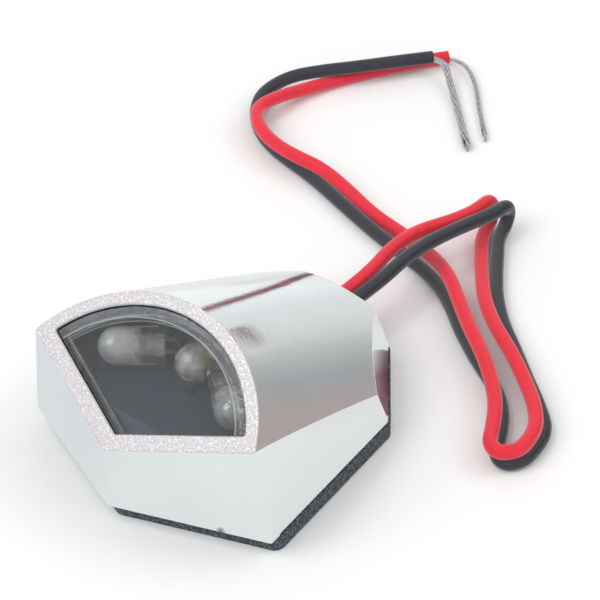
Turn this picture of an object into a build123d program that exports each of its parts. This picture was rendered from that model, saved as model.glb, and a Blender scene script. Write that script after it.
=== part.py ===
from build123d import *
import os
from math import cos, hypot, pi, radians, sin, sqrt, tan

# Number plate lamp, in millimetres.
# +Z is up, the lens faces -Y, and +X is on the right of someone who looks at the lens.
# The origin is the middle of the foam pad's adhesive face.

# Housing, outside: distances called "back" run from the front edge towards the rear
length = 46.6
half_width = 20.0
shoulder_back = 7.8
rear_corner_half = 16.8
rear_corner_back = 34.4
back_half = 6.9
front_height = 9.1
lens_tilt = 35.3
side_lean_in = 1.75
face_centre_up = 1.0
back_height = 8.3
facet_lean = 15.6
back_lean = 17.2
edge_round = 0.25

# Housing, inside
wall = 1.2
frame_front = 2.1
frame_arc = 1.65
window_corner = 0.35
window_bevel = 0.15
lip_width = 0.8
lip_thickness = 1.0
fit_gap = 0.1

# Lens
lens_recess = 0.6
lens_thickness = 2.4
lens_round = 0.2

# Foam pad
pad_thickness = 2.4
pad_front_inset = 1.3
pad_corner = 1.5
pad_shift = 0.3

# Base plate, circuit board and what sits on it: heights are above the housing's lower edge
plate_thickness = 1.2
standoff_height = 1.4
standoff_radius = 1.4
peg_radius = 0.7
peg_proud = 0.3
board_thickness = 1.0
board_half = 9.0
board_front = 15.0
board_back = 38.0
board_margin = 1.8
resistor_size = (3.2, 1.6, 0.6)
resistor_cap = 0.5
resistor_cap_proud = 0.06
resistor_spacing = 3.0
resistor_back = 29.5
diode_size = (4.3, 2.6, 2.1)
diode_taper = 6.0
diode_tab = (1.0, 1.4, 0.3)
diode_back = 26.5
diode_side = 5.2
resistor_side = -4.6

# LEDs
led_diameter = 5.0
led_flange_diameter = 5.8
led_flange_thickness = 1.0
led_height = 8.6
led_axis_height = 11.5
led_splay = 49.0
led_lens_gap = 0.3
led_corner_inset = 4.97
led_centre_set_back = 3.6
leg_side = 0.5
leg_pitch = 2.54
leg_run = 1.6
leg_bend = 0.8
leg_below_board = 1.0
leg_hole_gap = 0.15
post_height = 2.4
anvil_height = 0.8
anvil_reach = 0.6
cup_height = 0.8
cup_base_radius = 0.8
cup_radius = 1.0
phosphor_radius = 0.7
phosphor_depth = 0.5
anode_post_width = 0.45
anode_post_top = 3.8

# LED holder
led_rest_gap = 0.1
shelf_thickness = 1.2
shelf_behind_dome = 3.2
saddle_width = 3.6
saddle_rise = 1.1
saddle_behind = 1.3
holder_leg = 3.0
holder_leg_side = 10.0
holder_leg_back = 12.2

# Twin lead and its grommet
lead_diameter = 1.8
lead_pitch = 2.0
lead_on_board = 1.5
conductor_diameter = 0.9
neck_width = 5.4
neck_height = 3.4
flange_margin = 0.8
flange_thickness = 0.8
flange_round = 0.3
bore_gap = 0.05

# Solder
solder_radius = 0.9
solder_tip_radius = 0.35
solder_height = 0.6
pad_solder_radius = 0.85

# Routes of the two leads and of their stripped ends, as they lie on the floor
red_route = [
    (-1.0, 13.2, 6.9), (-1.0, 22.6, 6.9), (-1.1, 32.0, 7.1), (-2.6, 40.4, 6.7), (-3.3, 47.4, 5.4),
    (-3.5, 53.2, 2.6), (-3.5, 58.5, 0.95), (-1.5, 59.7, 0.9), (0.5, 58.5, 0.9), (0.9, 54.6, 0.9),
    (3.2, 49.4, 0.9), (7.0, 43.9, 0.9), (14.0, 37.9, 0.9), (22.5, 31.5, 1.5), (29.0, 26.0, 2.3),
    (32.4, 20.2, 2.6), (31.2, 17.2, 2.8), (28.4, 17.2, 2.8), (25.7, 21.4, 2.8), (22.6, 25.2, 2.8),
    (18.9, 28.9, 2.8), (14.9, 32.6, 1.6), (9.6, 36.1, 0.9), (3.2, 41.1, 0.9), (-8.0, 45.4, 0.9),
    (-19.5, 49.1, 0.9), (-30.5, 50.7, 0.9), (-37.6, 50.8, 1.3), (-42.2, 52.3, 1.4), (-44.2, 57.0, 1.1),
    (-43.0, 65.0, 0.9), (-37.4, 76.0, 0.9), (-32.0, 85.7, 0.9),
]
black_route = [
    (1.0, 13.2, 6.9), (1.0, 22.6, 6.9), (0.8, 32.0, 7.1), (-0.7, 40.4, 6.7), (-1.4, 47.4, 5.4),
    (-1.5, 53.2, 3.1), (-1.5, 58.4, 2.8), (0.6, 59.6, 2.8), (2.7, 58.4, 2.7), (3.0, 54.6, 1.6),
    (5.1, 50.1, 0.9), (8.5, 45.1, 0.9), (15.2, 39.4, 0.9), (23.6, 33.1, 0.9), (29.9, 27.5, 0.9),
    (33.8, 20.2, 0.9), (32.9, 17.0, 0.9), (30.0, 16.5, 0.9), (27.4, 20.9, 0.9), (24.0, 25.2, 0.9),
    (19.2, 27.9, 0.9), (14.6, 30.2, 0.9), (9.2, 33.9, 0.9), (2.2, 39.3, 0.9), (-8.6, 43.6, 0.9),
    (-20.1, 47.3, 0.9), (-31.0, 48.8, 0.9), (-38.4, 48.9, 0.9), (-43.9, 50.9, 0.9), (-46.2, 56.8, 1.9),
    (-44.5, 65.8, 1.8), (-39.2, 75.2, 2.4), (-34.2, 82.8, 2.7),
]
red_strand_route = [
    (-32.0, 85.7, 0.9), (-31.19, 87.155, 0.9), (-28.8, 86.6, 0.7), (-25.4, 84.4, 0.6), (-20.8, 79.9, 0.5),
    (-17.4, 75.6, 0.5), (-13.7, 71.6, 0.5),
]
black_strand_route = [
    (-34.2, 82.8, 2.7), (-33.4, 84.016, 2.748), (-31.0, 83.6, 2.4), (-28.2, 81.4, 1.4), (-24.6, 78.0, 0.6),
    (-19.2, 73.0, 0.5), (-14.2, 68.2, 0.5),
]

# Values that follow from the ones above
front_y = -length / 2
base_z = pad_thickness
board_bottom = plate_thickness + standoff_height
board_top = board_bottom + board_thickness
lead_height = board_top + lead_diameter / 2
pocket_depth = lens_recess + lens_thickness
seat_depth = pocket_depth + lip_thickness
shelf_top = led_axis_height - led_diameter / 2 - led_rest_gap
over = length
face_edge_slope = shoulder_back / cos(radians(lens_tilt)) / half_width
face_half_width = half_width - side_lean_in
face_radius = hypot(face_half_width, face_half_width * face_edge_slope - face_centre_up)
ridge_back = (face_centre_up + face_radius) * cos(radians(lens_tilt))
ridge_height = front_height + (face_centre_up + face_radius) * sin(radians(lens_tilt))
roof_end_back = length - back_height * tan(radians(back_lean))
roof_direction = Vector(0, roof_end_back - ridge_back, back_height - ridge_height).normalized()
dome_depth = pocket_depth + led_lens_gap + led_diameter / 2
dome_rise = (led_axis_height - front_height) * cos(radians(lens_tilt))
dome_back = (dome_depth + dome_rise) / sin(radians(lens_tilt))
shelf_back = dome_back + shelf_behind_dome
face_plane = Plane(
    origin=(0, front_y, base_z + front_height),
    x_dir=(1, 0, 0),
    z_dir=(0, -sin(radians(lens_tilt)), cos(radians(lens_tilt))),
)


def place(x, back, height):
    """Point from its side, its distance behind the front edge and its height over the housing's lower edge."""
    return Vector(x, front_y + back, base_z + height)


def mirrored(v):
    return Vector(-v.X, v.Y, v.Z)


def fan_corner(front_inset, arc_inset):
    """Apex height and right corner of the lens face outline, moved inwards, in the face's own plane."""
    apex = front_inset * hypot(1, face_edge_slope)
    rise = apex - face_centre_up
    a = 1 + face_edge_slope**2
    b = face_edge_slope * rise
    c = rise**2 - (face_radius - arc_inset) ** 2
    u = (-b + sqrt(b**2 - a * c)) / a
    return apex, u, apex + face_edge_slope * u


def fan(front_inset, arc_inset, corner):
    """Fan-shaped outline inside the lens face."""
    apex, u, v = fan_corner(front_inset, arc_inset)
    top = face_centre_up + face_radius - arc_inset
    outline = Polyline((-u, v), (0, apex), (u, v)) + ThreePointArc((u, v), (0, top), (-u, v))
    sheet = make_face(outline)
    return fillet(sheet.vertices(), corner)


# Corners of the outside
front_foot = place(0, 0, 0)
shoulder = place(half_width, shoulder_back, 0)
rear_corner = place(rear_corner_half, rear_corner_back, 0)
back_corner = place(back_half, length, 0)
face_corner = face_plane.from_local_coords(Vector(*fan_corner(0, 0)[1:], 0))


def leaning(along, lean):
    """Outward normal of a facet over a base edge, leaning inwards by an angle."""
    flat = Vector(along.Y, -along.X, 0).normalized()
    return flat * cos(radians(lean)) + Vector(0, 0, 1) * sin(radians(lean))


def front_facets(inset):
    normal = leaning(shoulder - front_foot, 0)
    return [
        Plane(origin=front_foot - n * inset, z_dir=n)
        for n in (normal, mirrored(normal))
    ]


def rear_facets(inset):
    """Side walls, rear corner facets and back face."""
    side = (rear_corner - shoulder).cross(face_corner - shoulder).normalized()
    corner = leaning(back_corner - rear_corner, facet_lean)
    back = leaning(mirrored(back_corner) - back_corner, back_lean)
    planes = [Plane(origin=back_corner - back * inset, z_dir=back)]
    for point, normal in ((shoulder, side), (rear_corner, corner)):
        planes.append(Plane(origin=point - normal * inset, z_dir=normal))
        planes.append(Plane(origin=mirrored(point) - mirrored(normal) * inset, z_dir=mirrored(normal)))
    return planes


def roof_profile(radius):
    """Round roof over a wide skirt, in the plane of the lens face."""
    skirt = half_width + radius
    c = face_centre_up
    outline = Polyline((radius, c), (skirt, c), (skirt, -over), (-skirt, -over), (-skirt, c), (-radius, c))
    return make_face(outline + ThreePointArc((-radius, c), (0, c + radius), (radius, c)))


def lamp_block(inset, face_inset, floor, ceiling=None):
    """The housing's outer form, with walls and roof moved inwards, and the lens face by its own distance."""
    start = Plane(
        origin=face_plane.origin - roof_direction * front_height,
        x_dir=face_plane.x_dir,
        z_dir=face_plane.z_dir,
    )
    block = extrude(start * roof_profile(face_radius - inset), amount=2 * length, dir=roof_direction)
    cuts = front_facets(inset) + rear_facets(inset)
    cuts.append(face_plane.offset(-face_inset))
    cuts.append(Plane(origin=place(0, 0, floor), z_dir=(0, 0, -1)))
    if ceiling is not None:
        cuts.append(Plane(origin=place(0, 0, ceiling), z_dir=(0, 0, 1)))
    for cut in cuts:
        block = split(block, bisect_by=cut, keep=Keep.BOTTOM)
    return block


def exit_plane():
    """Plane on the back face, centred on the twin lead."""
    normal = leaning(mirrored(back_corner) - back_corner, back_lean)
    back = length - lead_height * tan(radians(back_lean))
    return Plane(origin=place(0, back, lead_height), x_dir=(-1, 0, 0), z_dir=normal)


def lead_bores(gap):
    """Two straight rods along the leads where they pass the back face."""
    rods = Part()
    for side in (-1, 1):
        start = Plane(origin=place(side * lead_pitch / 2, board_back, lead_height), z_dir=(0, 1, 0))
        rods += extrude(start * Circle(lead_diameter / 2 + gap), amount=length)
    return rods


def make_housing():
    outer = lamp_block(0, 0, 0)
    sharp = [e for e in outer.edges() if e.center().Z > base_z + edge_round]
    outer = fillet(sharp, edge_round)
    shell = outer - lamp_block(wall, seat_depth, -over)
    window = fan(frame_front, frame_arc, window_corner)
    pocket = extrude(face_plane.offset(wall) * window, -(wall + pocket_depth))
    lip = fan(frame_front + lip_width, frame_arc + lip_width, window_corner)
    opening = extrude(face_plane * lip, -(seat_depth + wall))
    neck = extrude(exit_plane().offset(wall) * SlotOverall(neck_width, neck_height), -3 * wall)
    shell = shell - pocket - opening - neck
    rim = [
        e for e in shell.edges()
        if abs(face_plane.to_local_coords(e.center()).Z) < edge_round / 10
        and face_plane.to_local_coords(e.center()).Y > frame_front / 2
    ]
    inner = [e for e in rim if is_window_edge(e)]
    return chamfer(inner, window_bevel)


def is_window_edge(edge):
    """True for an edge of the lens window in the frame's front face."""
    local = face_plane.to_local_coords(edge.center())
    apex = fan_corner(frame_front, frame_arc)[0]
    reach = hypot(local.X, local.Y - face_centre_up)
    inside_front = local.Y > apex + face_edge_slope * abs(local.X) - frame_front / 4
    return inside_front and reach < face_radius - frame_arc / 2


def make_lens():
    sheet = fan(frame_front + fit_gap, frame_arc + fit_gap, window_corner - fit_gap)
    plate = extrude(face_plane.offset(-lens_recess) * sheet, -lens_thickness)
    top = plate.faces().sort_by(Axis(face_plane.origin, face_plane.z_dir))[-1]
    return fillet(top.edges(), lens_round)


def make_pad():
    half = [front_foot, shoulder, rear_corner, back_corner]
    outline = half + [mirrored(p) for p in reversed(half[1:])]
    sheet = make_face(Polyline(*[(p.X, p.Y) for p in outline], close=True))
    pad = extrude(sheet, pad_thickness)
    for cut in front_facets(pad_front_inset):
        pad = split(pad, bisect_by=cut, keep=Keep.BOTTOM)
    pad = fillet(pad.edges().filter_by(Axis.Z), pad_corner)
    return Pos(pad_shift, 0, 0) * pad


def peg_places():
    """Centres of the four pegs, from the board's corners."""
    side = board_half - board_margin
    return [
        (x, back) for x in (-side, side) for back in (board_front + board_margin, board_back - board_margin)
    ]


def make_base_plate():
    plate = lamp_block(wall + fit_gap, seat_depth, 0, plate_thickness)
    for x, back in peg_places():
        foot = Plane(origin=place(x, back, plate_thickness))
        plate += extrude(foot * Circle(standoff_radius), standoff_height)
        plate += extrude(foot * Circle(peg_radius), standoff_height + board_thickness + peg_proud)
    return plate


def led_planes():
    """Working plane of each LED by name: origin at the middle of its base, Z towards its dome, Y up."""
    planes = {}
    side_reach = fan_corner(frame_front + lip_width, frame_arc + lip_width)[1] - led_corner_inset
    for name, side, set_back in (("left", -1, 0), ("centre", 0, led_centre_set_back), ("right", 1, 0)):
        angle = radians(led_splay * side)
        axis = Vector(sin(angle), -cos(angle), 0)
        dome = place(side_reach * side, dome_back + set_back, led_axis_height)
        base = dome - axis * (led_height - led_diameter / 2)
        planes[name] = Plane(origin=base, x_dir=(-axis.Y, axis.X, 0), z_dir=axis)
    return planes


def led_blank(gap):
    """Outer form of an LED body about its own axis, grown by a gap."""
    r = led_diameter / 2 + gap
    flange = led_flange_diameter / 2 + gap
    shoulder_z = led_height - led_diameter / 2
    side = Polyline((0, -gap), (flange, -gap), (flange, led_flange_thickness + gap),
                    (r, led_flange_thickness + gap), (r, shoulder_z))
    dome = CenterArc((0, shoulder_z), r, 0, 90)
    close = Line((0, shoulder_z + r), (0, -gap))
    return revolve(Plane.XZ * make_face(side + dome + close), Axis.Z)


def led_leg(side, drop):
    """Square leg of an LED: straight out of the base, then bent down to the board."""
    x = side * leg_pitch / 2
    path = FilletPolyline((x, 0, post_height), (x, 0, -leg_run), (x, -drop, -leg_run), radius=leg_bend)
    start = Plane(origin=(x, 0, post_height), x_dir=(1, 0, 0), z_dir=(0, 0, -1))
    return sweep(start * Rectangle(leg_side, leg_side), path=path)


def make_led_frame():
    """Cathode with its anvil and cup, and anode with its post, about the LED's own axis."""
    drop = led_axis_height - board_bottom + leg_below_board
    edge = leg_pitch / 2 + leg_side / 2
    anvil_width = edge + anvil_reach
    cathode = led_leg(-1, drop)
    cathode += Pos(anvil_reach - anvil_width / 2, 0, post_height + anvil_height / 2) * Box(
        anvil_width, leg_side, anvil_height)
    cup_z = post_height + anvil_height
    cathode += Pos(0, 0, cup_z + cup_height / 2) * Cone(cup_base_radius, cup_radius, cup_height)
    cathode -= Pos(0, 0, cup_z + cup_height) * Cylinder(phosphor_radius, 2 * phosphor_depth)
    anode = led_leg(1, drop)
    anode += Pos(edge - anode_post_width / 2, 0, (post_height + anode_post_top) / 2) * Box(
        anode_post_width, leg_side, anode_post_top - post_height)
    return cathode, anode


def make_phosphor():
    """Yellow fill of the LED's cup, level with its rim."""
    rim = post_height + anvil_height + cup_height
    return Pos(0, 0, rim - phosphor_depth / 2) * Cylinder(phosphor_radius, phosphor_depth)


def make_led_body(cathode, anode, phosphor):
    """Clear body with the flat on its flange, cast round its metal."""
    body = led_blank(0)
    flat = led_diameter / 2
    trim = led_flange_diameter
    body -= Pos(-flat - trim / 2, 0, led_flange_thickness / 2) * Box(trim, trim, led_flange_thickness)
    return body - cathode - anode - phosphor


def make_holder():
    gap = wall + fit_gap
    shelf = lamp_block(gap, seat_depth + fit_gap, shelf_top - shelf_thickness, shelf_top)
    shelf = split(shelf, bisect_by=Plane(origin=place(0, shelf_back, 0), z_dir=(0, 1, 0)), keep=Keep.BOTTOM)
    low = led_axis_height - shelf_top + shelf_thickness
    high = led_axis_height - shelf_top - saddle_rise
    reach = led_height - saddle_behind
    middle = saddle_behind + reach / 2
    for plane in led_planes().values():
        saddle = Pos(0, -(low + high) / 2, middle) * Box(saddle_width, low - high, reach)
        shelf += plane * saddle
    for plane in led_planes().values():
        shelf -= plane * led_blank(led_rest_gap / 2)
    leg_height = shelf_top - shelf_thickness - plate_thickness
    for side in (-1, 1):
        centre = place(side * holder_leg_side, holder_leg_back, plate_thickness + leg_height / 2)
        shelf += Pos(*centre) * Box(holder_leg, holder_leg, leg_height)
    return shelf


def leg_places():
    """Where each LED leg meets the board, as points at the board's underside."""
    points = []
    for plane in led_planes().values():
        for side in (-1, 1):
            foot = plane.from_local_coords(Vector(side * leg_pitch / 2, 0, -leg_run))
            points.append(Vector(foot.X, foot.Y, base_z + board_bottom))
    return points


def make_board():
    size = (2 * board_half, board_back - board_front, board_thickness)
    centre = place(0, (board_front + board_back) / 2, board_bottom + board_thickness / 2)
    board = Pos(*centre) * Box(*size)
    for x, back in peg_places():
        board -= Pos(*place(x, back, board_bottom)) * Cylinder(peg_radius + fit_gap, 3 * board_thickness)
    for point in leg_places():
        board -= Pos(*point) * Cylinder(leg_side * sqrt(2) / 2 + leg_hole_gap, 3 * board_thickness)
    return board


def make_resistors():
    """Two chip resistors, each with its two end caps."""
    length_x, width, height = resistor_size
    proud = 2 * resistor_cap_proud
    chips = []
    for i in range(2):
        centre = place(resistor_side, resistor_back + (i - 0.5) * resistor_spacing, board_top + height / 2)
        chip = Box(length_x - 2 * resistor_cap, width - proud, height - proud)
        for side in (-1, 1):
            chip += Pos(side * (length_x - resistor_cap) / 2, 0, 0) * Box(resistor_cap, width, height)
        chips.append(Pos(*centre) * chip)
    return Compound(chips)


def make_diode():
    """Surface-mount diode with a tapered body and two tabs."""
    length_y, width, height = diode_size
    tab_length, tab_width, tab_height = diode_tab
    foot = Plane(origin=place(diode_side, diode_back, board_top))
    sheet = foot.offset(tab_height / 2) * Rectangle(width, length_y)
    body = extrude(sheet, height - tab_height / 2, taper=diode_taper)
    for side in (-1, 1):
        tab = Box(tab_width, 2 * tab_length, tab_height)
        body += foot * Pos(0, side * length_y / 2, tab_height / 2) * tab
    return body


def make_solder(legs):
    """Cones under the board round the LED legs, and domes on the board at the leads."""
    joints = []
    for point in leg_places():
        cone = Cone(solder_tip_radius, solder_radius, solder_height)
        cone = Pos(*point) * Pos(0, 0, -solder_height / 2) * cone
        for leg in legs:
            cone -= leg
        joints.append(cone)
    for side in (-1, 1):
        centre = place(side * lead_pitch / 2, board_back - lead_on_board - pad_solder_radius, board_top)
        joints.append(Pos(*centre) * Sphere(
            pad_solder_radius, arc_size1=0, align=(Align.CENTER, Align.CENTER, Align.MIN)))
    return Compound(joints)


def make_grommet():
    """Oblong rubber sleeve in the back face, with a flange on each side of the wall."""
    plane = exit_plane()
    big = SlotOverall(neck_width + 2 * flange_margin, neck_height + 2 * flange_margin)
    outer = extrude(plane * big, flange_thickness)
    outer = fillet(outer.faces().sort_by(Axis(plane.origin, plane.z_dir))[-1].edges(), flange_round)
    sleeve = outer + extrude(plane * SlotOverall(neck_width, neck_height), -wall)
    sleeve += extrude(plane.offset(-wall) * big, -flange_thickness)
    return sleeve - lead_bores(bore_gap)


def tube(route, diameter):
    """Round tube along straight runs joined by tangent arcs, each as large as its runs allow."""
    points = [Vector(*p) for p in route]
    runs = [b - a for a, b in zip(points, points[1:])]
    radii = []
    for one, two in zip(runs, runs[1:]):
        turn = radians(one.get_angle(two))
        radii.append(0.45 * min(one.length, two.length) / tan(turn / 2))
    path = FilletPolyline(*points, radius=radii)
    section = Plane(origin=points[0], z_dir=runs[0]) * Circle(diameter / 2)
    solid = sweep(section, path=path)
    turns = [round(one.get_angle(two)) for one, two in zip(runs, runs[1:])]
    print("radii", [round(r, 1) for r in radii], "turns", turns, "runs", [round(r.length, 1) for r in runs])
    print("length", round(path.length, 1), "volume share",
          round(solid.volume / (path.length * pi * diameter**2 / 4), 4))
    return solid


def build():
    cathode, anode = make_led_frame()
    phosphor = make_phosphor()
    led_body = make_led_body(cathode, anode, phosphor)
    nodes = {
        "housing": make_housing(),
        "lens": make_lens(),
        "led_holder": make_holder(),
        "base_plate": make_base_plate(),
        "circuit_board": make_board(),
        "chip_resistors": make_resistors(),
        "polarity_diode": make_diode(),
        "foam_pad": make_pad(),
        "cable_grommet": make_grommet(),
        "red_lead": tube(red_route, lead_diameter),
        "black_lead": tube(black_route, lead_diameter),
        "red_strands": tube(red_strand_route, conductor_diameter),
        "black_strands": tube(black_strand_route, conductor_diameter),
    }
    legs = []
    for name, plane in led_planes().items():
        legs += [plane * cathode, plane * anode]
        nodes["led_" + name] = plane * led_body
        nodes["led_" + name + "_frame"] = Compound([plane * cathode, plane * anode])
        nodes["led_" + name + "_phosphor"] = plane * phosphor
    nodes["solder_joints"] = make_solder(legs)
    return nodes


os.makedirs("parts", exist_ok=True)
for node, solid in build().items():
    export_step(solid, "parts/" + node + ".step")
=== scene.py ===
from math import cos, pi, radians, sin

import bmesh
import bpy
from mathutils import Matrix, Vector, noise


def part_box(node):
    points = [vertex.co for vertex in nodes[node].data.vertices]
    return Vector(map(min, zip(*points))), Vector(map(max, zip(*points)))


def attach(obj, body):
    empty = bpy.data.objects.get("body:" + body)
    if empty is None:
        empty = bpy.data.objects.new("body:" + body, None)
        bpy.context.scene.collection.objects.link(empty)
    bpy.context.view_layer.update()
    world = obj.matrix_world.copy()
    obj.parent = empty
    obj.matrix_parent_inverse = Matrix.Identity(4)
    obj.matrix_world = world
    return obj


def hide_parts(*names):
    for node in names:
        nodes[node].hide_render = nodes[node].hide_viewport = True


# Number plate lamp, dressed over its CAD solids. Metres, +Z up, the lens faces -Y.
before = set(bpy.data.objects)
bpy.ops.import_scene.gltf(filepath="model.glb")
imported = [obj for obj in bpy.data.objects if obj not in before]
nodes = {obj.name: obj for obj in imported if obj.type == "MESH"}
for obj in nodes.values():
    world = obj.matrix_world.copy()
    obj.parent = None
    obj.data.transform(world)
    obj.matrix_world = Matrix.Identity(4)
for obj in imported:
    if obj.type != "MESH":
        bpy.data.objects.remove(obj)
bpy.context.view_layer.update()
MM = 0.001

# Textures: the part of a noise's values that is used, and the bump's depth in shares of the grain
NOISE_RANGE = (0.3, 0.7)
BUMP_DEPTH = 0.25

# Camera
CAMERA_EYE = Vector((172.66, -186.06, 220.37)) * MM
CAMERA_AZIMUTH = radians(40.88)
CAMERA_ELEVATION = radians(38.25)
CAMERA_ROLL = radians(-0.67)
CAMERA_LENS = 156.0
CAMERA_SENSOR = 36.0
CAMERA_NEAR = 0.01

# Lens face: the housing's sloped front plane
FACE_TILT = radians(35.3)
FACE_NORMAL = Vector((0, -sin(FACE_TILT), cos(FACE_TILT)))
FACE_UP = Vector((0, cos(FACE_TILT), sin(FACE_TILT)))
FACE_POINT = Vector((0, -23.3, 11.5)) * MM
# Cosines by which faces are told apart
FLAT_FACING = 0.9
UPRIGHT_FACING = 0.5
LEFT_WALL_FACING = 0.3
LENS_CENTRE = Vector((0, -22.48, 12.08)) * MM
LENS_RING = (15 * MM, 19 * MM)
# Milkiness of the lens by the distance from its centre: a thin milky line and a faint haze along the round
# edge, painted highlights
LENS_HIGHLIGHT_HAZE = ((16.5 * MM, 0.0), (16.6 * MM, 0.4), (16.75 * MM, 0.07), (18.2 * MM, 0.07))

# Plated shell
CHROME_COLORS = ((0.85, 0.9, 0.895), (0.88, 0.925, 0.92))
CHROME_CLOUD = 6 * MM
CHROME_HAZE = 1.5 * MM
CHROME_ROUGHNESS = (0.07, 0.13)
CHROME_RIPPLE = 0.35 * MM
# Spots on the plating: place, radius in full colour, radius where it ends, colour
WORN_CORNER = (Vector((16.9, 11.2, 2.6)) * MM, 0.3 * MM, 0.8 * MM, (0.55, 0.36, 0.1))
SMUDGE = (Vector((13.9, -17.9, 2.6)) * MM, 0.2 * MM, 0.7 * MM, (0.3, 0.32, 0.34))
SATIN_DEPTH = 0.14 * MM
SATIN_WALL = 0.5 * MM
SATIN_GRAIN = 0.25 * MM
SATIN_FLECKS = (0.52, 0.68)
SATIN_COLORS = ((0.69, 0.66, 0.68), (1.0, 0.985, 0.995))
SATIN_ROUGHNESS = (0.22, 0.4)
CAVITY_MIDDLE = Vector((0, -1.0, 9.0)) * MM
INSIDE_DEPTH = 10 * MM
# Greys inside the shell, each from its depth under the lens face
INSIDE_COLORS = ((0.0, 0.8), (SATIN_WALL, 0.12), (2.95 * MM, 0.2), (3.05 * MM, 0.5), (4.05 * MM, 0.3))
LEFT_WALL_COLORS = ((0.0, 0.8), (SATIN_WALL, 0.025), (3.05 * MM, 0.1))
INSIDE_TINT = (0.97, 0.98, 1.0)
INSIDE_GRAIN = 0.5 * MM
INSIDE_ROUGHNESS = (0.3, 0.45)

# LED domes
DOME_PLACES = {
    "left": Vector((-9.73, -9.87, 13.9)) * MM,
    "centre": Vector((0, -6.27, 13.9)) * MM,
    "right": Vector((9.73, -9.87, 13.9)) * MM,
}
DOME_REACH = {"left": 3.3 * MM, "centre": 2.7 * MM, "right": 2.7 * MM}
# Clarity and darker colour differ from dome to dome to set how bright each renders: painted light and shade
DOME_CLEAR = {"left": 0.6, "centre": 0.35, "right": 0.6}
DOME_DARK = {"left": (0.8, 0.76, 0.7), "centre": (0.4, 0.37, 0.3), "right": (0.6, 0.58, 0.53)}
DOME_LIGHT = (1.0, 0.97, 0.91)
# Painted gleams on the centre dome, standing for glints and the yellow phosphor seen through it: place from
# its middle, radius, colour
PAINTED_DOME_GLEAMS = (
    (Vector((1.7, -0.2, 1.8)) * MM, 0.95 * MM, (0.98, 0.84, 0.3)),
    (Vector((-0.1, -1.5, 2.0)) * MM, 0.55 * MM, (1.0, 0.9, 0.55)),
)
PAINTED_GLEAM_CORE = 0.1 * MM
BODY_CLEAR = 0.94
DOME_FADE = (0.8, 1.3)

# Twin lead
LEAD_DIAMETER = 2.0 * MM
WIRE_ROUND_STEPS = 5
WIRE_LONG_STEPS = 10
RED_ROUTE = [
    (-1, 13.2, 6.9), (-1, 22.6, 6.9), (-1.2, 29.5, 7), (-2.3, 34.7, 6.9), (-2.5, 38.7, 6.7),
    (-2.2, 42.3, 6.2), (-1.1, 46.8, 5.5), (-0.5, 50.7, 5), (-0.5, 53, 4.9), (-0.7, 55.2, 4.6),
    (-0.7, 56.3, 2.9), (-0.3, 55.2, 1.2), (0.2, 53.4, 1), (1.3, 51, 1),
    (3.8, 47.6, 1.2), (7.4, 43, 1.7), (11.1, 38.8, 2.2),
    (15.4, 35.3, 2.5), (20.3, 32.3, 2.6), (25.1, 28.8, 2.6), (29.1, 25.6, 2.7), (31.9, 22.3, 2.8),
    (33, 18.8, 2.9), (33, 16.4, 3), (31.4, 14.7, 3), (29.4, 15.5, 3), (27.8, 18.5, 3), (25.5, 22.1, 3),
    (22.2, 25.6, 3), (17.8, 29.3, 3), (12.9, 32.7, 2.9), (8.4, 36.4, 2.8), (3.4, 40.4, 2.6),
    (-2, 43.4, 1.4), (-8.2, 45, 1), (-14, 45.5, 1.4), (-20.3, 47.2, 2.1), (-25.4, 48, 2.8),
    (-29.3, 47.6, 3.1), (-33.5, 47.8, 3.1), (-38.2, 49.2, 3.1), (-42.5, 52.6, 3.1), (-42.8, 56.7, 2.9),
    (-42.2, 63.2, 1.5), (-40, 70, 1), (-36.3, 77.1, 1), (-33.4, 82.1, 1), (-31.2, 85.1, 1),
]
BLACK_ROUTE = [
    (1, 13.2, 6.9), (1, 22.6, 6.9), (1.1, 29.4, 7.1), (0.6, 33.9, 7.1), (0.5, 37.5, 6.9), (0.7, 41.3, 6.6),
    (1.2, 46.2, 6), (1.9, 50.7, 5.4), (2.3, 53.2, 5.3), (2.1, 55.5, 4.8), (1.8, 56.6, 3),
    (2, 55.6, 1.3), (2.5, 53.7, 1), (3.5, 51.8, 1),
    (5.2, 49.4, 1), (7.8, 45.7, 1), (10.8, 41.8, 1), (14.9, 37.8, 1), (19.6, 34.3, 1), (24.1, 30.7, 1),
    (28.5, 27.4, 1), (32.3, 24, 1), (33.3, 20, 1), (33.4, 17.4, 1), (32, 15.4, 1), (29.9, 16.2, 1),
    (28.4, 19.4, 1), (25.7, 23.5, 1), (22, 26.7, 1), (16.9, 29.5, 1), (11.4, 33.1, 1), (6.9, 36.7, 1),
    (2.5, 39.3, 1), (-1.7, 40.7, 1), (-7.7, 41.9, 1), (-13.9, 43.5, 1), (-20.8, 45.6, 1), (-26.8, 47.4, 1),
    (-31.6, 48.3, 1), (-35.7, 49.2, 1), (-39.7, 50.9, 1), (-43.9, 54.3, 1), (-45.9, 57.9, 1.9),
    (-45.4, 63.5, 2.3), (-42, 67.1, 3), (-37.9, 71.7, 3.2), (-34.3, 77.1, 3), (-31.4, 81.3, 2.8),
]
RED_STRAND_ROUTE = [
    (-31.9, 84.2, 1), (-29.3, 85.6, 1), (-26.2, 84.2, 0.8), (-23, 81.5, 0.6), (-19.5, 77.6, 0.5),
    (-16.5, 74.5, 0.5), (-13.6, 71.5, 0.5),
]
BLACK_STRAND_ROUTE = [
    (-32.0, 80.4, 2.8), (-29.7, 82.1, 2.6), (-27.3, 80.1, 1.5), (-23.8, 77.1, 0.7), (-20, 73.5, 0.6),
    (-16.2, 69.8, 0.6), (-14.1, 68, 0.6),
]
STRANDS_ROUND_CORE = 6
STRAND_DIAMETER = {"red": 0.23 * MM, "black": 0.36 * MM}
STRAND_TURNS = 1.3
STRAND_ROUND_STEPS = 3
# Steps by which the strands, in turn, end short of the tip
STRAND_CUTS = (0, 2, 4)
STRAND_FLATNESS = 0.8
STRAND_LAY = 0.98
STRAND_SPLAY = 0.5
STRAND_SPLAY_FROM = 0.85

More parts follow.
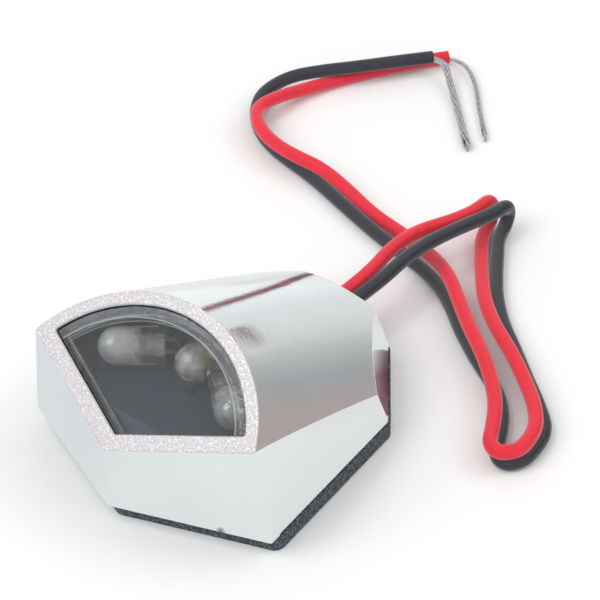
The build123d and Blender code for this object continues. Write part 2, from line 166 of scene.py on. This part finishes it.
# Foam pad
FOAM_STEP = 0.25 * MM
FOAM_ROWS = 10
FOAM_CELL = 0.4 * MM
FOAM_PIT = 0.07 * MM
FOAM_EDGE = 0.12 * MM
FOAM_LEVEL = 0.5
FOAM_FINE_CELL = 0.16 * MM
FOAM_FINE_SHARE = 0.5
FOAM_PORE = 0.35 * MM
FOAM_PORE_RANGE = (0.15, 0.6)
FOAM_COLORS = ((0.19, 0.21, 0.235), (0.06, 0.07, 0.085))
FOAM_FLUFF = 0.2 * MM
FOAM_ROUGHNESS = (0.8, 1.0)
WELD = 0.001 * MM

# Floor, surroundings and lamps
WHITE = (1, 1, 1)
FLOOR_SIZE = 0.22
FLOOR_ALBEDO = 0.95
FLOOR_GLOW = 0.05
FLOOR_PLAIN = 0.75
FLOOR_MIRRORED = (0.82, 0.82, 0.82)
# Floor as shiny surfaces see it, darker to the left of the lamp: painted shade in its reflection
FLOOR_LEFT = (0.68, 0.7, 0.74)
FLOOR_LEFT_WAY = Vector((1, 0.8, 0))
FLOOR_LEFT_SPAN = (-45 * MM, -18 * MM)
FLOOR_FAR = (64 * MM, 82 * MM)
WORLD_LEVEL = 0.68
CARD_TOP = (0.35, 0.6)
CARD_BEARINGS = (-60, 90)
CARD_COLORS = (
    (-45, (1, 1, 1)), (-33, (0.95, 0.97, 0.98)), (-24, (0.8, 0.81, 0.82)), (-15, (0.76, 0.77, 0.77)),
    (-8, (0.69, 0.7, 0.7)), (0, (0.55, 0.56, 0.56)), (7, (0.45, 0.455, 0.46)), (14, (0.39, 0.39, 0.405)),
    (20, (0.42, 0.385, 0.39)), (28, (0.465, 0.38, 0.38)), (55, (0.465, 0.38, 0.38)), (85, (1, 1, 1)),
)
STRIP_PALE = (0.9, 0.84, 0.86)
STRIP_ROUGHNESS = 0.9
# Painted reflections: strips that shiny surfaces show in place of the lead and of the shaded floor behind the
# lamp
# Strips: route in mm, width, colour, span of Y in which it pales, distance below which it isn't mirrored
PAINTED_REFLECTION_STRIPS = {
    "painted_reflection_left": (
        [(-17.5, 26.9, 23.9), (-20.2, 34, 17), (-22.3, 40.3, 11.6), (-25.8, 47, 2.6), (-26.8, 49.2, 0.7)],
        2.9 * MM, (0.35, 0.13, 0.18), (80 * MM, 90 * MM), 20 * MM,
    ),
    "painted_reflection_right": (
        [(15, 15.6, 1), (12.2, 19.8, 1), (9.2, 24, 1)],
        4.4 * MM, (0.48, 0.23, 0.3), (19 * MM, 24 * MM), 0.0,
    ),
    "painted_reflection_near": (
        [(-5, 28, 27.5), (-1.3, 30.2, 28.1), (1.2, 34, 29), (3.9, 39.6, 30.4), (6.5, 48, 31.7)],
        2.6 * MM, (0.42, 0.33, 0.36), (29 * MM, 40 * MM), 20 * MM,
    ),
}
KEY_PLACE = Vector((-0.16, -0.42, 0.5))
KEY_SIZE = 0.4
KEY_POWER = 1.6
BACK_PLACE = Vector((0.3, 0.3, 0.4))
BACK_SIZE = 0.3
BACK_POWER = 0.45
GLINT_PLACE = Vector((-0.12, -0.1, 0.4))
GLINT_SIZE = 0.05
GLINT_POWER = 0.1


def set_camera():
    data = bpy.data.cameras.new("photo_camera")
    data.lens = CAMERA_LENS
    data.sensor_width = CAMERA_SENSOR
    data.clip_start = CAMERA_NEAR
    camera = bpy.data.objects.new("photo_camera", data)
    turn = Matrix.Rotation(CAMERA_AZIMUTH, 4, "Z") @ Matrix.Rotation(pi / 2 - CAMERA_ELEVATION, 4, "X")
    camera.matrix_world = Matrix.Translation(CAMERA_EYE) @ turn @ Matrix.Rotation(CAMERA_ROLL, 4, "Z")
    bpy.context.scene.collection.objects.link(camera)
    bpy.context.scene.camera = camera


# Shader nodes
def new_material(name):
    material = bpy.data.materials.new(name)
    material.use_nodes = True
    shader = material.node_tree.nodes["Principled BSDF"]
    return material, material.node_tree, shader


def coordinates(tree):
    return tree.nodes.new("ShaderNodeTexCoord").outputs["Object"]


def light_path(tree, name):
    return tree.nodes.new("ShaderNodeLightPath").outputs[name]


def separate(tree, place):
    parts = tree.nodes.new("ShaderNodeSeparateXYZ")
    tree.links.new(place, parts.inputs[0])
    return parts.outputs


def math_node(tree, operation, first, second):
    """Arithmetic on two values, each a socket or a plain number."""
    node = tree.nodes.new("ShaderNodeMath")
    node.operation = operation
    for socket, value in zip(node.inputs, (first, second)):
        if isinstance(value, (int, float)):
            socket.default_value = value
        else:
            tree.links.new(value, socket)
    return node.outputs[0]


def vector_node(tree, operation, place, other=None):
    """Vector arithmetic on a socket and, where the operation has one, a fixed second vector."""
    node = tree.nodes.new("ShaderNodeVectorMath")
    node.operation = operation
    tree.links.new(place, node.inputs[0])
    if other is not None:
        node.inputs[1].default_value = other
    is_number = operation in ("DISTANCE", "DOT_PRODUCT", "LENGTH")
    return node.outputs["Value" if is_number else "Vector"]


def noise_value(tree, grain, detail=3.0):
    """Noise over the object, with the grain given in metres."""
    texture = tree.nodes.new("ShaderNodeTexNoise")
    texture.inputs["Scale"].default_value = 1 / grain
    texture.inputs["Detail"].default_value = detail
    tree.links.new(coordinates(tree), texture.inputs["Vector"])
    return texture.outputs["Fac"]


def spread(tree, value, low, high, source=NOISE_RANGE):
    """Maps a texture value to the stated range."""
    node = tree.nodes.new("ShaderNodeMapRange")
    node.inputs["From Min"].default_value = source[0]
    node.inputs["From Max"].default_value = source[1]
    node.inputs["To Min"].default_value = low
    node.inputs["To Max"].default_value = high
    tree.links.new(value, node.inputs["Value"])
    return node.outputs["Result"]


def smooth(tree, value, start, end):
    """Soft step from 0 to 1 between two values."""
    node = tree.nodes.new("ShaderNodeMapRange")
    node.interpolation_type = "SMOOTHSTEP"
    node.inputs["From Min"].default_value = start
    node.inputs["From Max"].default_value = end
    tree.links.new(value, node.inputs["Value"])
    return node.outputs["Result"]


def bands(tree, value, stops, interpolation="LINEAR"):
    """Colour ramp through stops, each a position from 0 to 1 and a colour."""
    ramp = tree.nodes.new("ShaderNodeValToRGB")
    ramp.color_ramp.interpolation = interpolation
    while len(ramp.color_ramp.elements) < len(stops):
        ramp.color_ramp.elements.new(1.0)
    for element, (position, color) in zip(ramp.color_ramp.elements, stops):
        element.position = position
        element.color = (*color, 1)
    tree.links.new(value, ramp.inputs["Fac"])
    return ramp.outputs["Color"]


def tint(tree, value, low, high, source=NOISE_RANGE):
    """Colour ramp between two colours over a texture value."""
    return bands(tree, value, ((source[0], low), (source[1], high)))


def mix_color(tree, factor, first, second):
    """Blend of two colours, each a socket or a plain colour."""
    mix = tree.nodes.new("ShaderNodeMix")
    mix.data_type = "RGBA"
    tree.links.new(factor, mix.inputs["Factor"])
    for name, color in (("A", first), ("B", second)):
        if isinstance(color, tuple):
            mix.inputs[name].default_value = (*color, 1)
        else:
            tree.links.new(color, mix.inputs[name])
    return mix.outputs["Result"]


def mix_surface(tree, share, first, second):
    """Makes the material's surface a mix of two shaders."""
    mix = tree.nodes.new("ShaderNodeMixShader")
    tree.links.new(share, mix.inputs[0])
    tree.links.new(first.outputs[0], mix.inputs[1])
    tree.links.new(second.outputs[0], mix.inputs[2])
    tree.links.new(mix.outputs[0], tree.nodes["Material Output"].inputs["Surface"])


def add_bump(tree, shader, height, strength, distance):
    bump = tree.nodes.new("ShaderNodeBump")
    bump.inputs["Strength"].default_value = strength
    bump.inputs["Distance"].default_value = distance
    tree.links.new(height, bump.inputs["Height"])
    tree.links.new(bump.outputs["Normal"], shader.inputs["Normal"])


def blot(tree, color, place, inner, outer, spot_color):
    """Lays a small soft spot of another colour round a point of the surface."""
    distance = vector_node(tree, "DISTANCE", coordinates(tree), place)
    inside = spread(tree, distance, 1.0, 0.0, (inner, outer))
    return mix_color(tree, inside, color, spot_color)


# Materials
def surface(name, dark, light, roughness, grain, bump, metallic=0.0, **more):
    """Principled material: colour, roughness and bump follow a noise of the stated grain."""
    material, tree, shader = new_material(name)
    value = noise_value(tree, grain)
    tree.links.new(tint(tree, value, dark, light), shader.inputs["Base Color"])
    tree.links.new(spread(tree, value, *roughness), shader.inputs["Roughness"])
    add_bump(tree, shader, value, bump, BUMP_DEPTH * grain)
    shader.inputs["Metallic"].default_value = metallic
    for key, amount in more.items():
        shader.inputs[key.replace("_", " ")].default_value = amount
    return material


def chrome_material():
    material, tree, shader = new_material("chrome_plate")
    color = tint(tree, noise_value(tree, CHROME_CLOUD), *CHROME_COLORS)
    color = blot(tree, color, *WORN_CORNER)
    color = blot(tree, color, *SMUDGE)
    tree.links.new(color, shader.inputs["Base Color"])
    haze = noise_value(tree, CHROME_HAZE)
    tree.links.new(spread(tree, haze, *CHROME_ROUGHNESS), shader.inputs["Roughness"])
    ripple = noise_value(tree, CHROME_RIPPLE, detail=2.0)
    add_bump(tree, shader, ripple, strength=0.4, distance=0.03 * MM)
    shader.inputs["Metallic"].default_value = 1.0
    return material


def satin_material():
    material, tree, shader = new_material("satin_frame")
    fleck = noise_value(tree, SATIN_GRAIN)
    tree.links.new(tint(tree, fleck, *SATIN_COLORS, SATIN_FLECKS), shader.inputs["Base Color"])
    tree.links.new(spread(tree, fleck, *SATIN_ROUGHNESS), shader.inputs["Roughness"])
    add_bump(tree, shader, fleck, strength=0.5, distance=0.08 * MM)
    shader.inputs["Metallic"].default_value = 1.0
    return material


def inside_material(name, colors, metallic):
    """Inside of the shell, in bands of grey by the depth under the lens face."""
    material, tree, shader = new_material(name)
    level = FACE_POINT.dot(FACE_NORMAL)
    height = vector_node(tree, "DOT_PRODUCT", coordinates(tree), FACE_NORMAL)
    depth = spread(tree, height, 0.0, 1.0, (level, level - INSIDE_DEPTH))
    stops = [(start / INSIDE_DEPTH, [part * grey for part in INSIDE_TINT]) for start, grey in colors]
    tree.links.new(bands(tree, depth, stops, "CONSTANT"), shader.inputs["Base Color"])
    speck = noise_value(tree, INSIDE_GRAIN)
    tree.links.new(spread(tree, speck, *INSIDE_ROUGHNESS), shader.inputs["Roughness"])
    add_bump(tree, shader, speck, strength=0.15, distance=0.1 * MM)
    shader.inputs["Metallic"].default_value = metallic
    shader.inputs["Specular IOR Level"].default_value = metallic / 2
    return material


def lens_material():
    """Clear moulding with a thin milky line and a faint haze along its round edge, painted highlights for the
    light arcs there.
    """
    material = surface(
        "clear_lens", dark=(0.9, 0.94, 0.97), light=(0.94, 0.97, 0.99), roughness=(0.0, 0.02),
        grain=3 * MM, bump=0.01, IOR=1.49,
    )
    tree = material.node_tree
    arm = vector_node(tree, "SUBTRACT", coordinates(tree), LENS_CENTRE)
    radius = vector_node(tree, "LENGTH", vector_node(tree, "CROSS_PRODUCT", arm, FACE_NORMAL))
    low, high = LENS_RING
    stops = [((place - low) / (high - low), [1 - haze] * 3) for place, haze in LENS_HIGHLIGHT_HAZE]
    clear = bands(tree, spread(tree, radius, 0.0, 1.0, LENS_RING), stops)
    tree.links.new(clear, tree.nodes["Principled BSDF"].inputs["Transmission Weight"])
    return material


def led_material(side, dome):
    """LED resin: clear body, and a milkier dome with a glossy skin."""
    material = surface(
        "led_resin_" + side, dark=DOME_DARK[side], light=DOME_LIGHT, roughness=(0.02, 0.08),
        grain=1.1 * MM, bump=0.03, IOR=1.5, Coat_Weight=1.0,
    )
    tree = material.node_tree
    shader = tree.nodes["Principled BSDF"]
    if side == "centre":
        # Painted gleams on the centre dome's colour
        color = shader.inputs["Base Color"].links[0].from_socket
        for spot, reach, yellow in PAINTED_DOME_GLEAMS:
            color = blot(tree, color, dome + spot, PAINTED_GLEAM_CORE, reach, yellow)
        tree.links.new(color, shader.inputs["Base Color"])
    distance = vector_node(tree, "DISTANCE", coordinates(tree), dome)
    ends = [share * DOME_REACH[side] for share in DOME_FADE]
    clear = spread(tree, distance, DOME_CLEAR[side], BODY_CLEAR, ends)
    tree.links.new(clear, shader.inputs["Transmission Weight"])
    return material


def foam_material():
    material, tree, shader = new_material("pad_foam")
    cells = tree.nodes.new("ShaderNodeTexVoronoi")
    cells.inputs["Scale"].default_value = 1 / FOAM_PORE
    tree.links.new(coordinates(tree), cells.inputs["Vector"])
    pits = spread(tree, cells.outputs["Distance"], 0.0, 1.0, FOAM_PORE_RANGE)
    tree.links.new(tint(tree, pits, *FOAM_COLORS, (0.0, 1.0)), shader.inputs["Base Color"])
    fluff = noise_value(tree, FOAM_FLUFF)
    tree.links.new(spread(tree, fluff, *FOAM_ROUGHNESS), shader.inputs["Roughness"])
    add_bump(tree, shader, pits, strength=0.5, distance=0.15 * MM)
    shader.inputs["Specular IOR Level"].default_value = 0.2
    return material


# Cords
def curve_object(name, diameter, material=None):
    data = bpy.data.curves.new(name, "CURVE")
    data.dimensions = "3D"
    data.bevel_depth = diameter / 2
    data.bevel_resolution = WIRE_ROUND_STEPS
    data.use_fill_caps = True
    data.resolution_u = WIRE_LONG_STEPS
    if material:
        data.materials.append(material)
    piece = bpy.data.objects.new(name, data)
    bpy.context.scene.collection.objects.link(piece)
    return piece


def add_route(piece, route):
    """Smooth spline with the route's points as its control points."""
    spline = piece.data.splines.new("NURBS")
    spline.points.add(len(route) - 1)
    for point, place in zip(spline.points, route):
        point.co = (*(Vector(place) * MM), 1)
    spline.order_u = 3
    spline.use_endpoint_u = True


def spline_points(route):
    """Points along a route's spline, read from a curve without bevel."""
    guide = curve_object("guide", 0)
    add_route(guide, route)
    mesh = bpy.data.meshes.new_from_object(guide)
    places = [vertex.co.copy() for vertex in mesh.vertices]
    data = guide.data
    bpy.data.objects.remove(guide)
    bpy.data.curves.remove(data)
    bpy.data.meshes.remove(mesh)
    return places


def strand_bundle(name, route, diameter, material):
    """Core strand with others twisted round it, a little splayed at the cut tip."""
    places = spline_points(route)
    piece = curve_object(name, diameter, material)
    piece.data.bevel_resolution = STRAND_ROUND_STEPS
    last = len(places) - 1
    for index in range(STRANDS_ROUND_CORE + 1):
        end = last - STRAND_CUTS[index % len(STRAND_CUTS)]
        spline = piece.data.splines.new("POLY")
        spline.points.add(end)
        for step in range(end + 1):
            along = (places[min(step + 1, last)] - places[max(step - 1, 0)]).normalized()
            side = along.cross(Vector((0, 0, 1))).normalized()
            over = side.cross(along) * STRAND_FLATNESS
            share = step / last
            turn = 2 * pi * (index / STRANDS_ROUND_CORE + STRAND_TURNS * share)
            splay = max(0, share - STRAND_SPLAY_FROM) / (1 - STRAND_SPLAY_FROM)
            away = diameter * (STRAND_LAY + STRAND_SPLAY * splay)
            if index == STRANDS_ROUND_CORE:
                away = 0
            place = places[step] + (side * cos(turn) + over * sin(turn)) * away
            place.z = max(place.z, diameter / 2)
            spline.points[step].co = (*place, 1)
    return piece


def make_leads():
    red = surface(
        "red_pvc", dark=(0.78, 0.018, 0.04), light=(0.86, 0.026, 0.054), roughness=(0.3, 0.4),
        grain=0.8 * MM, bump=0.01, Specular_IOR_Level=0.4,
    )
    black = surface(
        "black_pvc", dark=(0.014, 0.016, 0.025), light=(0.022, 0.024, 0.035), roughness=(0.28, 0.38),
        grain=0.8 * MM, bump=0.01, Specular_IOR_Level=0.55,
    )
    tinned = surface(
        "tinned_copper", dark=(0.36, 0.36, 0.37), light=(0.56, 0.56, 0.56), roughness=(0.2, 0.35),
        grain=0.6 * MM, bump=0.1, metallic=1.0,
    )
    for name, route, strand_route, material in (
        ("red", RED_ROUTE, RED_STRAND_ROUTE, red),
        ("black", BLACK_ROUTE, BLACK_STRAND_ROUTE, black),
    ):
        lead = curve_object(name + "_wire", LEAD_DIAMETER, material)
        add_route(lead, route)
        # The plating mirrors the stage strips, painted reflections, in place of the wires
        lead.visible_glossy = False
        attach(lead, "root")
        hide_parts(name + "_lead")
        strands = strand_bundle(name + "_wire_end", strand_route, STRAND_DIAMETER[name], tinned)
        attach(strands, "root")
        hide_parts(name + "_strands")


# Foam pad
def pad_outline():
    """Corners of the pad's outline in order, read from the rim of its CAD solid's lower face."""
    rim = bmesh.new()
    rim.from_mesh(nodes["foam_pad"].data)
    bmesh.ops.remove_doubles(rim, verts=rim.verts, dist=WELD)
    under = [face for face in rim.faces if face.normal.z < -FLAT_FACING]
    ahead = {}
    for face in under:
        for loop in face.loops:
            if not all(other in under for other in loop.edge.link_faces):
                ahead[loop.vert.index] = loop.link_loop_next.vert.index
    rim.verts.ensure_lookup_table()
    first = next(iter(ahead))
    corners = [rim.verts[first].co.copy()]
    here = ahead[first]
    while here != first:
        corners.append(rim.verts[here].co.copy())
        here = ahead[here]
    rim.free()
    return corners


def along_outline(corners):
    """Points at even steps along a closed outline, each with the inward direction of its side."""
    places = []
    for one, two in zip(corners, corners[1:] + corners[:1]):
        run = two - one
        inward = Vector((run.y, -run.x, 0)).normalized()
        count = max(1, round(run.length / FOAM_STEP))
        places += [(one + run * (i / count), inward) for i in range(count)]
    return places


def foam_pit(place):
    """Depth of the open cells at a point of the pad's side."""
    coarse = noise.noise(place / FOAM_CELL)
    fine = noise.noise(place / FOAM_FINE_CELL)
    return FOAM_PIT * min(1, max(0, FOAM_LEVEL + coarse + FOAM_FINE_SHARE * fine))


def make_foam():
    """Foam pad with fine open cells on its cut sides, within the space of its CAD solid."""
    low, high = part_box("foam_pad")
    places = along_outline(pad_outline())
    shape = bmesh.new()
    rows = []
    for level in range(FOAM_ROWS + 1):
        z = low[2] + (high[2] - low[2]) * level / FOAM_ROWS
        row = []
        for place, inward in places:
            here = Vector((place.x, place.y, z))
            depth = FOAM_EDGE if level in (0, FOAM_ROWS) else foam_pit(here)
            row.append(shape.verts.new(here + inward * depth))
        rows.append(row)
    for below, above in zip(rows, rows[1:]):
        for i in range(len(places)):
            j = (i + 1) % len(places)
            shape.faces.new((below[j], below[i], above[i], above[j]))
    shape.faces.new(rows[0])
    shape.faces.new(list(reversed(rows[-1])))
    bmesh.ops.recalc_face_normals(shape, faces=shape.faces)
    mesh = bpy.data.meshes.new("foam_tape")
    shape.to_mesh(mesh)
    shape.free()
    mesh.materials.append(foam_material())
    pad = bpy.data.objects.new("foam_tape", mesh)
    bpy.context.scene.collection.objects.link(pad)
    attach(pad, "root")
    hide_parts("foam_pad")


# Carried-over solids
def paint(node, *materials):
    nodes[node].data.materials.clear()
    for material in materials:
        nodes[node].data.materials.append(material)


def dress_housing():
    """Chrome outside, satin on the lens frame, greys inside, darker on the window's left."""
    inside = inside_material("shell_inside", INSIDE_COLORS, metallic=0.8)
    left_wall = inside_material("window_left_wall", LEFT_WALL_COLORS, metallic=0.0)
    paint("housing", chrome_material(), satin_material(), inside, left_wall)
    chrome_slot, satin_slot, inside_slot, left_slot = range(4)
    for face in nodes["housing"].data.polygons:
        above = (face.center - FACE_POINT).dot(FACE_NORMAL)
        inward = (CAVITY_MIDDLE - face.center).dot(face.normal) > 0
        on_lip = above < -SATIN_WALL and face.normal.dot(FACE_NORMAL) > FLAT_FACING
        if above > -SATIN_DEPTH:
            face.material_index = satin_slot
        elif inward or on_lip:
            face.material_index = left_slot if face.normal.x > LEFT_WALL_FACING else inside_slot
        else:
            face.material_index = chrome_slot


def dress_lens(edge):
    """Clear plate whose two straight front edges are painted dark, a painted shade in place of the light they
    would mirror.
    """
    paint("lens", lens_material(), edge)
    clear_slot, edge_slot = range(2)
    for face in nodes["lens"].data.polygons:
        upright = abs(face.normal.dot(FACE_NORMAL)) < UPRIGHT_FACING
        front = face.normal.dot(FACE_UP) < 0
        face.material_index = edge_slot if upright and front else clear_slot


def dress_rest():
    metal = surface(
        "led_metal", dark=(0.78, 0.78, 0.77), light=(0.92, 0.92, 0.91), roughness=(0.25, 0.4),
        grain=0.4 * MM, bump=0.2, metallic=1.0,
    )
    # The phosphor's faint emission is a painted glow; the LEDs are not lit
    phosphor = surface(
        "led_phosphor", dark=(0.85, 0.72, 0.12), light=(0.95, 0.85, 0.28), roughness=(0.4, 0.6),
        grain=0.15 * MM, bump=0.3, Emission_Color=(0.9, 0.75, 0.15, 1), Emission_Strength=0.15,
    )
    black = surface(
        "black_plastic", dark=(0.02, 0.029, 0.046), light=(0.03, 0.042, 0.065), roughness=(0.4, 0.6),
        grain=0.3 * MM, bump=0.3,
    )
    rubber = surface(
        "grommet_rubber", dark=(0.012, 0.012, 0.013), light=(0.025, 0.025, 0.027), roughness=(0.55, 0.75),
        grain=0.25 * MM, bump=0.3,
    )
    board = surface(
        "board_laminate", dark=(0.03, 0.14, 0.07), light=(0.05, 0.2, 0.1), roughness=(0.3, 0.5),
        grain=0.4 * MM, bump=0.2,
    )
    chip = surface(
        "chip_ceramic", dark=(0.02, 0.02, 0.022), light=(0.05, 0.05, 0.055), roughness=(0.3, 0.5),
        grain=0.2 * MM, bump=0.2,
    )
    solder = surface(
        "solder", dark=(0.6, 0.6, 0.58), light=(0.78, 0.78, 0.76), roughness=(0.2, 0.4),
        grain=0.5 * MM, bump=0.3, metallic=1.0,
    )
    dress_lens(black)
    for side, dome in DOME_PLACES.items():
        paint("led_" + side, led_material(side, dome))
        paint("led_" + side + "_frame", metal)
        paint("led_" + side + "_phosphor", phosphor)
    for node in ("led_holder", "base_plate"):
        paint(node, black)
    for node in ("chip_resistors", "polarity_diode"):
        paint(node, chip)
    paint("cable_grommet", rubber)
    paint("circuit_board", board)
    paint("solder_joints", solder)


# Stage
def seen_rays(tree):
    """Value that is 1 for rays that show the background: camera, glossy and transmission rays."""
    total = light_path(tree, "Is Camera Ray")
    for name in ("Is Glossy Ray", "Is Transmission Ray"):
        total = math_node(tree, "MAXIMUM", total, light_path(tree, name))
    return total


def not_thrown_back(tree):
    """Value that is 0 for light the plating throws on the floor, so that the floor keeps the lamp's shade."""
    after_floor = math_node(tree, "MINIMUM", light_path(tree, "Diffuse Depth"), 1.0)
    glossy = light_path(tree, "Is Glossy Ray")
    reflected = math_node(tree, "SUBTRACT", glossy, light_path(tree, "Is Transmission Ray"))
    thrown = math_node(tree, "MULTIPLY", after_floor, math_node(tree, "MAXIMUM", reflected, 0.0))
    return math_node(tree, "SUBTRACT", 1.0, thrown)


def card_color(tree, place):
    """Colour of the card by its bearing from the +Y axis towards the +X axis."""
    parts = separate(tree, place)
    bearing = math_node(tree, "ARCTAN2", parts["X"], parts["Y"])
    low, high = CARD_BEARINGS
    along = spread(tree, bearing, 0.0, 1.0, (radians(low), radians(high)))
    return bands(tree, along, [((degrees - low) / (high - low), color) for degrees, color in CARD_COLORS])


def show_plain(tree, shader):
    """Lets shiny surfaces show a plainer floor, with painted shade to the left, which runs out into the card.
    """
    place = coordinates(tree)
    way = vector_node(tree, "DOT_PRODUCT", place, FLOOR_LEFT_WAY)
    across = spread(tree, way, 0.0, 1.0, FLOOR_LEFT_SPAN)
    near = tint(tree, across, FLOOR_LEFT, FLOOR_MIRRORED, (0.0, 1.0))
    far = smooth(tree, vector_node(tree, "LENGTH", place), *FLOOR_FAR)
    plain = tree.nodes.new("ShaderNodeEmission")
    tree.links.new(mix_color(tree, far, near, card_color(tree, place)), plain.inputs["Color"])
    mirrored = math_node(tree, "MULTIPLY", light_path(tree, "Is Glossy Ray"), not_thrown_back(tree))
    share = math_node(tree, "MULTIPLY", mirrored, math_node(tree, "MAXIMUM", far, FLOOR_PLAIN))
    mix_surface(tree, share, shader, plain)


def make_floor():
    mesh = bpy.data.meshes.new("floor")
    half = FLOOR_SIZE / 2
    corners = [(-half, -half, 0), (half, -half, 0), (half, half, 0), (-half, half, 0)]
    mesh.from_pydata(corners, [], [(0, 1, 2, 3)])
    floor = bpy.data.objects.new("floor", mesh)
    bpy.context.scene.collection.objects.link(floor)
    material, tree, shader = new_material("floor")
    shader.inputs["Base Color"].default_value = (FLOOR_ALBEDO, FLOOR_ALBEDO, FLOOR_ALBEDO, 1)
    shader.inputs["Roughness"].default_value = 1.0
    shader.inputs["Specular IOR Level"].default_value = 0.0
    shader.inputs["Emission Color"].default_value = (*WHITE, 1)
    glow = math_node(tree, "MULTIPLY", seen_rays(tree), FLOOR_GLOW)
    tree.links.new(glow, shader.inputs["Emission Strength"])
    show_plain(tree, shader)
    mesh.materials.append(material)


def make_world():
    """White surroundings with a soft grey card behind the lamp, which only shiny surfaces show."""
    world = bpy.data.worlds.new("studio")
    bpy.context.scene.world = world
    world.use_nodes = True
    tree = world.node_tree
    back = tree.nodes["Background"]
    place = tree.nodes.new("ShaderNodeTexCoord").outputs["Generated"]
    under = math_node(tree, "SUBTRACT", 1.0, smooth(tree, separate(tree, place)["Z"], *CARD_TOP))
    shown = math_node(tree, "MULTIPLY", under, light_path(tree, "Is Glossy Ray"))
    tree.links.new(mix_color(tree, shown, WHITE, card_color(tree, place)), back.inputs["Color"])
    level = spread(tree, seen_rays(tree), WORLD_LEVEL, 1.0, (0.0, 1.0))
    level = math_node(tree, "MULTIPLY", level, not_thrown_back(tree))
    tree.links.new(level, back.inputs["Strength"])


def add_lamp(name, place, size, power, mirrored):
    data = bpy.data.lights.new(name, "AREA")
    data.energy = power
    data.size = size
    lamp = bpy.data.objects.new(name, data)
    lamp.location = place
    lamp.rotation_euler = (-place).to_track_quat("-Z", "Y").to_euler()
    lamp.visible_glossy = mirrored
    bpy.context.scene.collection.objects.link(lamp)


def make_painted_reflections():
    """Thin dark red strips behind the lamp, paler farther off, which only shiny surfaces show: painted
    reflections of the lead and of the shaded floor behind it.
    """
    for name, (route, width, color, fade, nearest) in PAINTED_REFLECTION_STRIPS.items():
        material, tree, shader = new_material(name)
        far = spread(tree, separate(tree, coordinates(tree))["Y"], 0.0, 1.0, fade)
        tree.links.new(tint(tree, far, color, STRIP_PALE, (0.0, 1.0)), shader.inputs["Base Color"])
        shader.inputs["Roughness"].default_value = STRIP_ROUGHNESS
        away = math_node(tree, "GREATER_THAN", light_path(tree, "Ray Length"), nearest)
        mix_surface(tree, away, tree.nodes.new("ShaderNodeBsdfTransparent"), shader)
        strip = curve_object(name, width, material)
        add_route(strip, route)
        strip.visible_camera = False
        strip.visible_diffuse = False
        strip.visible_transmission = False
        strip.visible_shadow = False


set_camera()
make_leads()
make_foam()
dress_housing()
dress_rest()
make_floor()
make_world()
make_painted_reflections()
add_lamp("key", KEY_PLACE, KEY_SIZE, KEY_POWER, mirrored=False)
add_lamp("back", BACK_PLACE, BACK_SIZE, BACK_POWER, mirrored=False)
add_lamp("glint", GLINT_PLACE, GLINT_SIZE, GLINT_POWER, mirrored=True)
bpy.context.scene.view_settings.view_transform = "Standard"
